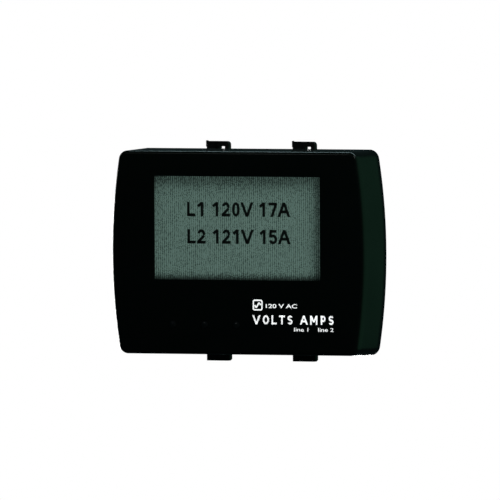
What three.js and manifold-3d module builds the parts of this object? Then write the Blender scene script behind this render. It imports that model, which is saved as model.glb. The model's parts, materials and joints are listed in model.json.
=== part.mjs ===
// A wall-mounted remote display for a caravan power monitor, in millimetres.
// +X is to the right of someone reading it, +Z is up, and the front faces -Y.
// The origin is on the wall, at the centre of the wall bracket's back face.
import * as THREE from "three";
import { mergeVertices } from "three/addons/utils/BufferGeometryUtils.js";
import Module from "manifold-3d";

const wasm = await Module();
wasm.setup();

// Driving sizes of the case.
const CASE_WIDTH = 132; // across the front face, at mid height
const CASE_HEIGHT = 97.4; // front face
const CASE_DEPTH = 26.25;
const CASE_DRAFT = 0.6; // the back is this much larger than the front, on each side
const CASE_CORNER = 5;
const SIDE_BULGE_RADIUS = 287;
const FRONT_FILLET = 1.5;
const SIDE_WALL = 2.2;
const FRONT_WALL = 2;

// Clearances.
const SLIP = 0.25; // between pieces that slide past each other
const FIT = 0.3; // between pieces that are cut to fit each other
const REST = 0.1; // between pieces that are stacked

// Depths, measured along Y from the wall at 0.
const BRACKET_FRONT = -3;
const CASE_BACK = BRACKET_FRONT - SLIP;
const CASE_FRONT = CASE_BACK - CASE_DEPTH;
const INNER_FRONT = CASE_FRONT + FRONT_WALL;
const COVER_THICK = 2;
const COVER_INNER = CASE_BACK - COVER_THICK;
const BACK_HALF_WIDTH = CASE_WIDTH / 2 + CASE_DRAFT;
const BACK_HALF_HEIGHT = CASE_HEIGHT / 2 + CASE_DRAFT;
const BEYOND = 5; // how far a cutter runs past what it cuts

// Display window and the stack behind it.
const WINDOW = { width: 87.04, height: 49.63, x: -0.18, z: 11.84, lip: 1.1, corner: 0.6 };
const LENS = { width: 90.4, height: 52.15, thick: 0.7 };
const GLASS = { width: 91, height: 54.4, thick: 1.6 };
const GLASS_FRONT = INNER_FRONT + 0.6;
const HOLDER_WALL = 0.8;

// Main board.
const BOARD = { width: 102.6, height: 84, z: -1, thick: 1.6, front: -21.5, corner: 2 };
const BOARD_BACK = BOARD.front + BOARD.thick;

// Push buttons, in a row below the window at the left.
const BUTTON = { radius: 1.75, count: 3, pitch: 16.65, firstX: -34, z: -34.4, crown: 0.6, flange: 2.9 };
const BUTTON_TRAVEL = 0.8;

// Battery bay and its door.
const CELL = { radius: 5.25, length: 44.5, pitch: 11.3, count: 3 };
const BAY = { halfWidth: 17, bottom: -42, top: 10, floor: -16.3, wall: 1.2 };
const BAY_OUTER_HALF_WIDTH = 19.75;
const DOOR = { halfWidth: 17, lip: 1.5, lipThick: 0.75, top: 13 };
const CELL_Y = CASE_BACK - 7.2; // depth of the cells' axes

// Wall bracket.
const PLATE = { width: 58.4, height: 96.8, corner: 3 };
const EAR = { width: 11.8, pitch: 45.1, shift: 0.65, tip: 52.75, corner: 1.6 };
const EAR_SLOT = {
  fromRight: 3.45, // from the ear's right end to the slot's middle
  root: 44,
  upper: { width: 2.8, tip: 50.3 },
  lower: { width: 2.2, tip: 49.8 },
};
const HOOK = { width: 5, x: 24.5, heights: [30, -22], neck: 2, lip: 3.6, lipThick: 1.5 };
const LIFT = 4.5; // how far the case is lifted to come off the hooks

// Screws.
const HOUSING_BOSS = { x: 55.5, z: 38.5, radius: 3.5 };
const BOARD_POST = { x: 49.4, heights: [36.5, -39.5], radius: 2.6 };
const HOUSING_SCREW = { head: 2.7, shaft: 1.45, length: 13 };
const BOARD_SCREW = { head: 2.1, shaft: 1.1, length: 5 };

const ROUND_SIDES = 20;
const SMALL_SIDES = 12;
const CASE_ARC_STEPS = 8;

// ---- Shapes ----

// A closed geometry as a solid that can be joined and cut.
function solid(geometry) {
  const bare = geometry.clone();
  bare.deleteAttribute("normal");
  bare.deleteAttribute("uv");
  const merged = mergeVertices(bare, 1e-4);
  const corners = merged.index.array;
  const kept = [];
  for (let i = 0; i < corners.length; i += 3) {
    const [a, b, c] = corners.slice(i, i + 3);
    if (a !== b && b !== c && a !== c) kept.push(a, b, c);
  }
  const vertProperties = merged.attributes.position.array;
  return new wasm.Manifold(new wasm.Mesh({ numProp: 3, vertProperties, triVerts: new Uint32Array(kept) }));
}

function join(...pieces) {
  return pieces.reduce((whole, piece) => whole.add(piece));
}

function cut(body, ...tools) {
  return tools.reduce((rest, tool) => rest.subtract(tool), body);
}

// A block between two corners, given as ranges along X, Y and Z.
function block([x0, x1], [y0, y1], [z0, z1]) {
  const box = new THREE.BoxGeometry(x1 - x0, y1 - y0, z1 - z0);
  return solid(box.translate((x0 + x1) / 2, (y0 + y1) / 2, (z0 + z1) / 2));
}

// An outline drawn in X and Z, extruded from its back depth to its front depth.
// An arc gets twice its curveSegments, so arcSteps is halved where it is passed on.
function slab(outline, back, front, arcSteps = 4) {
  const extruded = new THREE.ExtrudeGeometry(outline, {
    depth: back - front,
    bevelEnabled: false,
    curveSegments: arcSteps / 2,
  });
  return solid(extruded.rotateX(Math.PI / 2).translate(0, back, 0));
}

// A round bar along Y.
function bar(radius, back, front, x = 0, z = 0, sides = ROUND_SIDES) {
  const cylinder = new THREE.CylinderGeometry(radius, radius, back - front, sides);
  return solid(cylinder.translate(x, (back + front) / 2, z));
}

// A solid of revolution about Y: the profile holds [radius, y] pairs from the front to the back.
function turned(profile, sides = ROUND_SIDES) {
  const points = profile.map(([radius, y]) => new THREE.Vector2(radius, y));
  return solid(new THREE.LatheGeometry(points, sides));
}

function roundedRect(width, height, radius, x = 0, z = 0) {
  const [right, top] = [width / 2 - radius, height / 2 - radius];
  const outline = new THREE.Shape();
  outline.absarc(x + right, z + top, radius, 0, Math.PI / 2);
  outline.absarc(x - right, z + top, radius, Math.PI / 2, Math.PI);
  outline.absarc(x - right, z - top, radius, Math.PI, Math.PI * 1.5);
  outline.absarc(x + right, z - top, radius, Math.PI * 1.5, Math.PI * 2);
  return outline;
}

// The case outline: straight top and bottom, sides that bulge on a large radius, rounded corners.
function caseOutline(halfWidth, halfHeight, radius) {
  const sideCentre = halfWidth - SIDE_BULGE_RADIUS;
  const reach = SIDE_BULGE_RADIUS - radius;
  const cornerZ = halfHeight - radius;
  const tilt = Math.asin(cornerZ / reach);
  const cornerX = sideCentre + reach * Math.cos(tilt);
  const outline = new THREE.Shape();
  outline.absarc(sideCentre, 0, SIDE_BULGE_RADIUS, -tilt, tilt);
  outline.absarc(cornerX, cornerZ, radius, tilt, Math.PI / 2);
  outline.absarc(-cornerX, cornerZ, radius, Math.PI / 2, Math.PI - tilt);
  outline.absarc(-sideCentre, 0, SIDE_BULGE_RADIUS, Math.PI - tilt, Math.PI + tilt);
  outline.absarc(-cornerX, -cornerZ, radius, Math.PI + tilt, Math.PI * 1.5);
  outline.absarc(cornerX, -cornerZ, radius, Math.PI * 1.5, Math.PI * 2 - tilt);
  return outline;
}

// ---- Nodes ----

const material = (color, roughness, metalness = 0) =>
  new THREE.MeshStandardMaterial({ color, roughness, metalness });

const MATERIALS = {
  caseBlack: material(0x0b0d0d, 0.42),
  bracketBlack: material(0x0d0e0e, 0.55),
  buttonBlack: material(0x101212, 0.25),
  clear: material(0xe6ecea, 0.08),
  foam: material(0x111111, 0.95),
  holder: material(0xd8dad6, 0.5),
  display: material(0x65766f, 0.35),
  lightGuide: material(0xeef2f0, 0.3),
  ribbon: material(0xa8772c, 0.4),
  board: material(0x14532f, 0.45),
  chip: material(0x161616, 0.5),
  plated: material(0xb8bab8, 0.3, 0.9),
  steel: material(0x8f9396, 0.35, 0.95),
  redWire: material(0x9c1512, 0.5),
  blackWire: material(0x0c0c0c, 0.5),
  cellLabel: material(0x2e4a66, 0.4),
};

// The bracket stays on the wall; everything else hangs on it as one unit.
const display = new THREE.Group();
const bracketGroup = new THREE.Group();
const displayUnit = new THREE.Group();
display.add(bracketGroup, displayUnit);

function addNode(group, name, shape, look, position = [0, 0, 0]) {
  const { numProp, vertProperties, triVerts } = shape.getMesh();
  const geometry = new THREE.BufferGeometry();
  geometry.setAttribute("position", new THREE.BufferAttribute(vertProperties, numProp));
  geometry.setIndex(new THREE.BufferAttribute(triVerts, 1));
  geometry.computeVertexNormals();
  const mesh = new THREE.Mesh(geometry, look);
  mesh.name = name;
  mesh.position.set(...position);
  group.add(mesh);
}

// Calls back with each corner of a symmetric four-point pattern, numbered from 1.
function atCorners(x, heights, make) {
  const corners = [-x, x].flatMap((cornerX) => heights.map((z) => [cornerX, z]));
  corners.forEach(([cornerX, z], i) => make(cornerX, z, i + 1));
}

// ---- Wall bracket ----

const EAR_TIP_CHAMFER = 0.8;
const LOWER_EAR_EXTRA = 0.45; // a lower ear is this much wider than an upper one, at its left
const EAR_ROOT = 40; // the ears run this far into the plate
const EAR_RIB = { above: 0.35, beside: 0.1, thick: 0.7, depth: 1.4, length: 3 };
const EAR_BOSS = { width: 6.2, thick: 0.5 };

// The outline of an upper ear, rounded at its right, or of a lower ear, which is chamfered.
function earOutline(left, upper) {
  const right = left + EAR.width;
  const outline = new THREE.Shape();
  if (upper) {
    outline.moveTo(left, EAR_ROOT);
    outline.lineTo(right, EAR_ROOT);
    outline.absarc(right - EAR.corner, EAR.tip - EAR.corner, EAR.corner, 0, Math.PI / 2);
    outline.lineTo(left, EAR.tip);
    return outline;
  }
  outline.moveTo(left - LOWER_EAR_EXTRA, -EAR_ROOT);
  outline.lineTo(left - LOWER_EAR_EXTRA, -EAR.tip);
  outline.lineTo(right - EAR_TIP_CHAMFER, -EAR.tip);
  outline.lineTo(right, -EAR.tip + EAR_TIP_CHAMFER);
  outline.lineTo(right, -EAR_ROOT);
  return outline;
}

// One ear, its through slot, and on an upper ear the thin rib at its left end.
function ear(left, upper) {
  const side = upper ? 1 : -1;
  const right = left + EAR.width;
  const { width, tip } = upper ? EAR_SLOT.upper : EAR_SLOT.lower;
  const slotX = right - EAR_SLOT.fromRight;
  const slotRange = [EAR_SLOT.root * side, tip * side].sort((a, b) => a - b);
  const slotSides = [slotX - width / 2, slotX + width / 2];
  // The left part of the ear is a little thinner than the boss around the slot.
  const thinRange = [BACK_HALF_HEIGHT * side, (EAR.tip + BEYOND) * side].sort((a, b) => a - b);
  const thinStep = block(
    [left - BEYOND, right - EAR_BOSS.width],
    [BRACKET_FRONT - 1, BRACKET_FRONT + EAR_BOSS.thick],
    thinRange,
  );
  const slot = block(slotSides, [BRACKET_FRONT - 1, 1], slotRange);
  const body = cut(slab(earOutline(left, upper), 0, BRACKET_FRONT), slot, thinStep);
  if (!upper) return [body, slot];
  const ribTop = EAR.tip + EAR_RIB.above;
  const ribLeft = left - EAR_RIB.beside;
  const rib = block(
    [ribLeft, ribLeft + EAR_RIB.thick],
    [BRACKET_FRONT, BRACKET_FRONT + EAR_RIB.depth],
    [ribTop - EAR_RIB.length, ribTop],
  );
  return [join(body, rib), slot];
}

// A hook on the bracket's front: a neck with a lip that points up inside the case.
function hook(x, z) {
  const sides = [x - HOOK.width / 2, x + HOOK.width / 2];
  const lipBack = COVER_INNER - SLIP;
  const lipFront = lipBack - HOOK.lipThick;
  const neck = block(sides, [lipFront, BRACKET_FRONT + 0.5], [z - HOOK.neck, z]);
  const lip = block(sides, [lipFront, lipBack], [z - HOOK.neck, z + HOOK.lip]);
  return join(neck, lip);
}

function wallBracket() {
  const screwHole = { x: 10, heights: [38, -38], hole: 2.2, head: 4.2, headDepth: 1.6 };
  const pocket = { near: 4, far: 25, low: 5, high: 30, depth: 1.2 };
  let plate = slab(roundedRect(PLATE.width, PLATE.height, PLATE.corner), 0, BRACKET_FRONT);
  for (const side of [-1, 1])
    for (const upper of [true, false]) {
      const left = EAR.shift + (side * EAR.pitch) / 2 - EAR.width / 2;
      const [body, slot] = ear(left, upper);
      plate = cut(join(plate, body), slot);
    }
  for (const x of [-HOOK.x, HOOK.x]) for (const z of HOOK.heights) plate = join(plate, hook(x, z));
  atCorners(screwHole.x, screwHole.heights, (x, z) => {
    const shaft = bar(screwHole.hole, 1, BRACKET_FRONT - 1, x, z, SMALL_SIDES);
    const head = bar(screwHole.head, BRACKET_FRONT + screwHole.headDepth, BRACKET_FRONT - 1, x, z);
    plate = cut(plate, shaft, head);
  });
  for (const side of [-1, 1])
    for (const end of [-1, 1]) {
      const xs = [pocket.near * side, pocket.far * side].sort((a, b) => a - b);
      const zs = [pocket.low * end, pocket.high * end].sort((a, b) => a - b);
      plate = cut(plate, block(xs, [-pocket.depth, 1], zs));
    }
  return plate;
}

addNode(bracketGroup, "wall_bracket", wallBracket(), MATERIALS.bracketBlack);

// ---- Case shells ----

// Narrows a solid's geometry from the case's back to its front.
function drafted(geometry) {
  const position = geometry.attributes.position;
  for (let i = 0; i < position.count; i++) {
    const share = (CASE_BACK - position.getY(i)) / CASE_DEPTH;
    position.setX(i, position.getX(i) * (1 - (share * CASE_DRAFT) / BACK_HALF_WIDTH));
    position.setZ(i, position.getZ(i) * (1 - (share * CASE_DRAFT) / BACK_HALF_HEIGHT));
  }
  return geometry;
}

// The outside of the case, with its front edge rounded over and its back cut square.
function caseBody() {
  const extruded = new THREE.ExtrudeGeometry(caseOutline(BACK_HALF_WIDTH, BACK_HALF_HEIGHT, CASE_CORNER), {
    depth: CASE_DEPTH,
    bevelThickness: FRONT_FILLET,
    bevelSize: FRONT_FILLET,
    bevelOffset: -FRONT_FILLET,
    bevelSegments: 3,
    curveSegments: CASE_ARC_STEPS / 2,
  });
  extruded.rotateX(Math.PI / 2).translate(0, CASE_BACK + FRONT_FILLET, 0);
  const wide = [-CASE_WIDTH, CASE_WIDTH];
  return cut(solid(drafted(extruded)), block(wide, [CASE_BACK, CASE_BACK + BEYOND], wide));
}

// The T-shaped groove that the battery door slides down in, grown by a clearance all round.
function doorRun(gap, top, bottom) {
  const lipBack = CASE_BACK - DOOR.lipThick - REST;
  const outer = DOOR.halfWidth + gap;
  const wide = DOOR.halfWidth + DOOR.lip + gap;
  const lipFront = lipBack - DOOR.lipThick;
  return join(
    block([-outer, outer], [lipFront - gap, CASE_BACK + (gap > 0 ? BEYOND : -REST)], [bottom, top]),
    block([-wide, wide], [lipFront - gap, lipBack + gap], [bottom, top]),
  );
}

const doorSlot = doorRun(SLIP, DOOR.top + SLIP, -BACK_HALF_HEIGHT - BEYOND);

function frontHousing() {
  const cavity = slab(
    caseOutline(BACK_HALF_WIDTH - SIDE_WALL, BACK_HALF_HEIGHT - SIDE_WALL, CASE_CORNER - SIDE_WALL),
    CASE_BACK + BEYOND,
    INNER_FRONT,
    CASE_ARC_STEPS,
  );
  const opening = slab(
    roundedRect(WINDOW.width, WINDOW.height, WINDOW.corner, WINDOW.x, WINDOW.z),
    CASE_BACK,
    CASE_FRONT - BEYOND,
  );
  const lensPocket = slab(
    roundedRect(LENS.width + 2 * FIT, LENS.height + 2 * FIT, WINDOW.corner, 0, WINDOW.z),
    CASE_BACK,
    CASE_FRONT + WINDOW.lip,
  );
  let housing = cut(caseBody(), cavity);
  atCorners(HOUSING_BOSS.x, [HOUSING_BOSS.z, -HOUSING_BOSS.z], (x, z) => {
    const boss = bar(HOUSING_BOSS.radius, COVER_INNER - SLIP, INNER_FRONT - 1, x, z, SMALL_SIDES);
    const pilotEnd = CASE_BACK - HOUSING_SCREW.length - 3;
    const pilot = bar(HOUSING_SCREW.shaft + FIT, CASE_BACK, pilotEnd, x, z, SMALL_SIDES);
    housing = cut(join(housing, boss), pilot);
  });
  atCorners(BOARD_POST.x, BOARD_POST.heights, (x, z) => {
    const post = bar(BOARD_POST.radius, BOARD.front - REST, INNER_FRONT - 1, x, z, SMALL_SIDES);
    const pilotEnd = BOARD.front - BOARD_SCREW.length;
    const pilot = bar(BOARD_SCREW.shaft + FIT, CASE_BACK, pilotEnd, x, z, SMALL_SIDES);
    housing = cut(join(housing, post), pilot);
  });
  for (const x of buttonPlaces())
    housing = cut(housing, bar(BUTTON.radius + SLIP, CASE_BACK, CASE_FRONT - BEYOND, x, BUTTON.z));
  return cut(housing, opening, lensPocket, doorSlot);
}

function rearCover() {
  const inset = SIDE_WALL + FIT;
  const plate = slab(
    caseOutline(BACK_HALF_WIDTH - inset, BACK_HALF_HEIGHT - inset, CASE_CORNER - inset),
    CASE_BACK,
    COVER_INNER,
    CASE_ARC_STEPS,
  );
  const bayFront = BAY.floor - BAY.wall;
  const coverBottom = -BACK_HALF_HEIGHT + inset;
  const bayOuter = [-BAY_OUTER_HALF_WIDTH, BAY_OUTER_HALF_WIDTH];
  const bayBox = block(bayOuter, [bayFront, CASE_BACK - 1], [coverBottom + 1, DOOR.top + BAY.wall]);
  const bayRoom = block([-BAY.halfWidth, BAY.halfWidth], [BAY.floor, CASE_BACK + 1], [BAY.bottom, BAY.top]);
  let cover = cut(join(plate, bayBox), bayRoom, doorSlot);
  for (const x of [-HOOK.x, HOOK.x])
    for (const z of HOOK.heights) {
      const slotSides = [x - HOOK.width / 2 - 0.5, x + HOOK.width / 2 + 0.5];
      const slotRange = [z - HOOK.neck - LIFT - 0.8, z + FIT];
      cover = cut(cover, block(slotSides, [COVER_INNER - 1, CASE_BACK + 1], slotRange));
    }
  atCorners(HOUSING_BOSS.x, [HOUSING_BOSS.z, -HOUSING_BOSS.z], (x, z) => {
    const shaft = bar(HOUSING_SCREW.shaft + FIT, CASE_BACK + 1, COVER_INNER - 1, x, z, SMALL_SIDES);
    const head = bar(HOUSING_SCREW.head + FIT, CASE_BACK + 1, CASE_BACK - 1.4, x, z);
    cover = cut(cover, shaft, head);
  });
  return cover;
}

// The door slides down out of the case; shallow grooves near its top give a thumb some grip.
function batteryDoor() {
  const grip = { halfWidth: 8, height: 0.8, depth: 0.35, pitch: 2, count: 4, firstZ: 3 };
  let door = doorRun(0, DOOR.top, -BACK_HALF_HEIGHT);
  for (let i = 0; i < grip.count; i++) {
    const z = grip.firstZ + i * grip.pitch;
    const depths = [CASE_BACK - REST - grip.depth, 0];
    const groove = block([-grip.halfWidth, grip.halfWidth], depths, [z, z + grip.height]);
    door = cut(door, groove);
  }
  return door;
}

addNode(displayUnit, "front_housing", frontHousing(), MATERIALS.caseBlack);
addNode(displayUnit, "rear_cover", rearCover(), MATERIALS.caseBlack);
addNode(displayUnit, "battery_door", batteryDoor(), MATERIALS.caseBlack);

// ---- Screws ----

// A screw along Y whose head's back face is at y = 0, with a cross recess in it.
function screw({ head, shaft, length }, headThick) {
  const body = turned(
    [
      [0, -length],
      [shaft * 0.7, -length],
      [shaft, -length + 1],
      [shaft, -headThick],
      [head, -headThick],
      [head, -0.3],
      [head - 0.3, 0],
      [0, 0],
    ],
    SMALL_SIDES,
  );
  const arm = [-head * 0.55, head * 0.55];
  const groove = [-0.3, 0.3];
  const recess = [-headThick * 0.6, 1];
  return cut(body, block(arm, recess, groove), block(groove, recess, arm));
}

atCorners(HOUSING_BOSS.x, [HOUSING_BOSS.z, -HOUSING_BOSS.z], (x, z, number) => {
  const place = [x, CASE_BACK - REST, z];
  addNode(displayUnit, `housing_screw_${number}`, screw(HOUSING_SCREW, 1.2), MATERIALS.steel, place);
});

atCorners(BOARD_POST.x, BOARD_POST.heights, (x, z, number) => {
  const headThick = 1.1;
  const place = [x, BOARD_BACK + headThick + REST, z];
  addNode(displayUnit, `board_screw_${number}`, screw(BOARD_SCREW, headThick), MATERIALS.steel, place);
});

// ---- Display stack, from the front to the back ----

// A flat ring around the window's centre.
function ring(outerWidth, outerHeight, innerWidth, innerHeight, back, front) {
  return cut(
    slab(roundedRect(outerWidth, outerHeight, 1, 0, WINDOW.z), back, front),
    slab(roundedRect(innerWidth, innerHeight, 0.5, 0, WINDOW.z), back + 1, front - 1),
  );
}

function panel(width, height, back, front) {
  return slab(roundedRect(width, height, 0.5, 0, WINDOW.z), back, front, 2);
}

const lensFront = CASE_FRONT + WINDOW.lip + REST;
const glassBack = GLASS_FRONT + GLASS.thick;
const guideFront = glassBack + REST;
const holderBack = BOARD.front - 0.2;
const guideBack = holderBack - REST;
const holderWidth = GLASS.width + 2 * FIT + 2 * HOLDER_WALL;
const holderHeight = GLASS.height + 2 * FIT + 2 * HOLDER_WALL;
const RIBBON = { halfWidth: 14, thick: 0.3, slotHalfWidth: 15, foot: 4 };

function lcdHolder() {
  const frame = ring(
    holderWidth,
    holderHeight,
    GLASS.width + 2 * FIT,
    GLASS.height + 2 * FIT,
    holderBack,
    GLASS_FRONT,
  );
  const bottom = WINDOW.z - holderHeight / 2;
  const ribbonGap = block(
    [-RIBBON.slotHalfWidth, RIBBON.slotHalfWidth],
    [glassBack - 1, holderBack + 1],
    [bottom - 1, bottom + HOLDER_WALL + FIT],
  );
  return cut(frame, ribbonGap);
}

// A flexible ribbon from the back of the glass's lower edge, down and back to the board.
function lcdRibbon() {
  const glassBottom = WINDOW.z - GLASS.height / 2;
  const outerZ = glassBottom - FIT - HOLDER_WALL - 1.2;
  const across = [-RIBBON.halfWidth, RIBBON.halfWidth];
  const tailFront = glassBack - RIBBON.thick;
  const footBack = BOARD.front - REST;
  const tail = block(across, [tailFront, glassBack], [outerZ, glassBottom - FIT]);
  const drop = block(across, [tailFront, footBack], [outerZ, outerZ + RIBBON.thick]);
  const footDepths = [footBack - RIBBON.thick, footBack];
  const foot = block(across, footDepths, [outerZ - RIBBON.foot, outerZ + RIBBON.thick]);
  return join(tail, drop, foot);
}

// A foam ring between the front wall and the display glass, just outside the clear window.
function windowGasket() {
  const inner = 0.4;
  return ring(
    holderWidth,
    holderHeight,
    LENS.width + inner,
    LENS.height + inner,
    GLASS_FRONT - REST,
    INNER_FRONT + REST,
  );
}

const lens = panel(LENS.width, LENS.height, lensFront + LENS.thick, lensFront);
const glass = panel(GLASS.width, GLASS.height, glassBack, GLASS_FRONT);
const lightGuide = panel(GLASS.width - 1, GLASS.height - 1, guideBack, guideFront);
addNode(displayUnit, "display_window", lens, MATERIALS.clear);
addNode(displayUnit, "window_gasket", windowGasket(), MATERIALS.foam);
addNode(displayUnit, "lcd_holder", lcdHolder(), MATERIALS.holder);
addNode(displayUnit, "lcd_glass", glass, MATERIALS.display);
addNode(displayUnit, "lcd_backlight", lightGuide, MATERIALS.lightGuide);
addNode(displayUnit, "lcd_ribbon", lcdRibbon(), MATERIALS.ribbon);

// ---- Main board and what is soldered to it ----

function mainBoard() {
  let board = slab(roundedRect(BOARD.width, BOARD.height, BOARD.corner, 0, BOARD.z), BOARD_BACK, BOARD.front);
  atCorners(BOARD_POST.x, BOARD_POST.heights, (x, z) => {
    board = cut(board, bar(BOARD_SCREW.shaft + FIT, BOARD_BACK + 1, BOARD.front - 1, x, z, SMALL_SIDES));
  });
  return board;
}

// A square chip body with its corners cut, standing on the board's back face.
function chipBody(halfWidth, halfHeight, thick) {
  const body = block([-halfWidth, halfWidth], [0, thick], [-halfHeight, halfHeight]);
  const dot = bar(0.7, thick + 1, thick - 0.2, -halfWidth + 1.8, halfHeight - 1.8, SMALL_SIDES);
  return cut(body, dot);
}

// A can standing off the board along +Y.
function can(radius, height) {
  const edge = 0.4;
  const profile = [[0, 0], [radius, 0], [radius, height - edge], [radius - edge, height], [0, height]];
  return turned(profile, SMALL_SIDES);
}

// A ferrite drum: two flanges with a winding waist between them.
function drum(radius, height) {
  const flange = 0.9;
  const waist = radius * 0.8;
  return turned(
    [
      [0, 0],
      [radius, 0],
      [radius, flange],
      [waist, flange],
      [waist, height - flange],
      [radius, height - flange],
      [radius, height],
      [0, height],
    ],
    SMALL_SIDES,
  );
}

// A shielded radio on its small carrier board, which also holds the aerial.
function radioModule() {
  const carrier = block([-9, 9], [0, 0.8], [-12, 12]);
  const shield = block([-7.5, 7.5], [0.7, 2.6], [-10.5, 4.5]);
  const aerial = block([-6, 6], [0.7, 1.5], [7, 9.5]);
  return join(carrier, shield, aerial);
}

const CONNECTOR = { x: 27, z: 24, halfWidth: 3.6, halfHeight: 2.4, thick: 5 };

// A two-way connector whose leads enter its open lower side.
function batteryConnector() {
  const { halfWidth, halfHeight, thick } = CONNECTOR;
  const wall = 0.7;
  const body = block([-halfWidth, halfWidth], [0, thick], [-halfHeight, halfHeight]);
  const mouthSides = [-halfWidth + wall, halfWidth - wall];
  const mouth = block(mouthSides, [wall * 2, thick - wall], [-halfHeight - 1, halfHeight - wall]);
  return cut(body, mouth);
}

const onBoard = (x, z) => [x, BOARD_BACK + REST, z];
addNode(displayUnit, "main_board", mainBoard(), MATERIALS.board);
addNode(displayUnit, "microcontroller", chipBody(5, 5, 1.4), MATERIALS.chip, onBoard(-34, -8));
addNode(displayUnit, "crystal", chipBody(2.5, 1.6, 1.2), MATERIALS.plated, onBoard(-34, -18));
addNode(displayUnit, "radio_module", radioModule(), MATERIALS.plated, onBoard(34, -14));
addNode(displayUnit, "inductor", drum(3.5, 4), MATERIALS.chip, onBoard(-20, 27));
addNode(displayUnit, "capacitor", can(3.1, 7), MATERIALS.plated, onBoard(-31, 27));
const connectorPlace = onBoard(CONNECTOR.x, CONNECTOR.z);
addNode(displayUnit, "battery_connector", batteryConnector(), MATERIALS.holder, connectorPlace);

// ---- Buttons and their switches ----

function buttonPlaces() {
  return Array.from({ length: BUTTON.count }, (_, i) => BUTTON.firstX + i * BUTTON.pitch);
}

const SWITCH = { half: 3, height: 3, bore: 1.3, boreDepth: 2, plunger: 1, proud: 1 };
const switchTop = BOARD.front - REST - SWITCH.height;
const plungerTop = switchTop - SWITCH.proud;

// A domed cap with a flange that holds it behind the front wall, and a stem onto the switch.
function buttonCap() {
  const flangeFront = INNER_FRONT + SLIP;
  const flangeBack = flangeFront + 1;
  const arcSteps = 5;
  // The crown is a spherical cap: its sphere's radius follows from its width and height.
  const sphere = (BUTTON.radius ** 2 + BUTTON.crown ** 2) / (2 * BUTTON.crown);
  const centre = CASE_FRONT - BUTTON.crown + sphere;
  const spread = Math.asin(BUTTON.radius / sphere);
  const crown = Array.from({ length: arcSteps + 1 }, (_, i) => {
    const angle = (spread * i) / arcSteps;
    return [sphere * Math.sin(angle), centre - sphere * Math.cos(angle)];
  });
  return turned([
    ...crown,
    [BUTTON.radius, flangeFront],
    [BUTTON.flange, flangeFront],
    [BUTTON.flange, flangeBack],
    [1.2, flangeBack],
    [1.2, plungerTop - REST],
    [0, plungerTop - REST],
  ]);
}

function tactSwitch() {
  const sides = [-SWITCH.half, SWITCH.half];
  const body = block(sides, [switchTop, BOARD.front - REST], sides);
  return cut(body, bar(SWITCH.bore, switchTop + SWITCH.boreDepth, switchTop - 1, 0, 0, SMALL_SIDES));
}

function plunger() {
  const length = SWITCH.proud + SWITCH.boreDepth - BUTTON_TRAVEL - FIT;
  return bar(SWITCH.plunger, plungerTop + length, plungerTop, 0, 0, SMALL_SIDES);
}

buttonPlaces().forEach((x, i) => {
  const place = [x, 0, BUTTON.z];
  addNode(displayUnit, `button_${i + 1}`, buttonCap(), MATERIALS.buttonBlack, place);
  addNode(displayUnit, `switch_plunger_${i + 1}`, plunger(), MATERIALS.chip, place);
  addNode(displayUnit, `tact_switch_${i + 1}`, tactSwitch(), MATERIALS.plated, place);
});

// ---- Cells and contacts ----

const CONTACT_THICK = 0.5;
const NUB = { radius: 2.6, height: 1 };

// A coil that narrows towards the cell, along Z.
class ConeHelix extends THREE.Curve {
  constructor(wide, narrow, turns, height) {
    super();
    Object.assign(this, { wide, narrow, turns, height });
  }
  getPoint(t, target = new THREE.Vector3()) {
    const angle = 2 * Math.PI * this.turns * t;
    const radius = this.wide + (this.narrow - this.wide) * t;
    return target.set(radius * Math.cos(angle), radius * Math.sin(angle), this.height * t);
  }
}

// A closed tube along a curve.
function tube(curve, radius, steps, sides = 6) {
  const section = new THREE.Shape();
  section.absarc(0, 0, radius, 0, 2 * Math.PI);
  return solid(new THREE.ExtrudeGeometry(section, { extrudePath: curve, steps, curveSegments: sides / 2 }));
}

// A dry cell along Z, its positive nub up, centred on its length.
function dryCell() {
  const half = CELL.length / 2;
  const cell = turned([
    [0, -half],
    [CELL.radius - 0.5, -half],
    [CELL.radius, -half + 0.5],
    [CELL.radius, half - NUB.height - 0.5],
    [CELL.radius - 0.5, half - NUB.height],
    [NUB.radius, half - NUB.height],
    [NUB.radius, half],
    [0, half],
  ]);
  return cell.rotate([90, 0, 0]);
}

function batterySpring(height) {
  const wire = 0.35;
  const coil = tube(new ConeHelix(3.4, 2, 3, height - 2 * wire - CONTACT_THICK), wire, 27);
  const base = block([-4.4, 4.4], [-4.4, 4.4], [0, CONTACT_THICK]);
  return join(base, coil.translate([0, 0, CONTACT_THICK + wire * 0.8]));
}

function contactPlate() {
  return block([-4.4, 4.4], [-4.4, 4.4], [0, CONTACT_THICK]);
}

// Neighbouring cells point opposite ways; each has a coil at its flat end and a plate at its nub.
const springRoom = BAY.top - BAY.bottom - CELL.length - 3 * FIT - CONTACT_THICK;
for (let i = 0; i < CELL.count; i++) {
  const up = i % 2 === 0 ? 1 : -1;
  const x = (i - (CELL.count - 1) / 2) * CELL.pitch;
  const flatEnd = up > 0 ? BAY.bottom + FIT : BAY.top - FIT;
  const nubEnd = up > 0 ? BAY.top - FIT : BAY.bottom + FIT;
  const cellZ = nubEnd - up * (CONTACT_THICK + FIT / 2 + CELL.length / 2);
  const turn = up > 0 ? [0, 0, 0] : [180, 0, 0];
  const spring = batterySpring(springRoom).rotate(turn);
  const plate = contactPlate().rotate([180 - turn[0], 0, 0]);
  addNode(displayUnit, `battery_${i + 1}`, dryCell().rotate(turn), MATERIALS.cellLabel, [x, CELL_Y, cellZ]);
  addNode(displayUnit, `battery_spring_${i + 1}`, spring, MATERIALS.plated, [x, CELL_Y, flatEnd]);
  addNode(displayUnit, `contact_plate_${i + 1}`, plate, MATERIALS.plated, [x, CELL_Y, nubEnd]);
}

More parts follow.
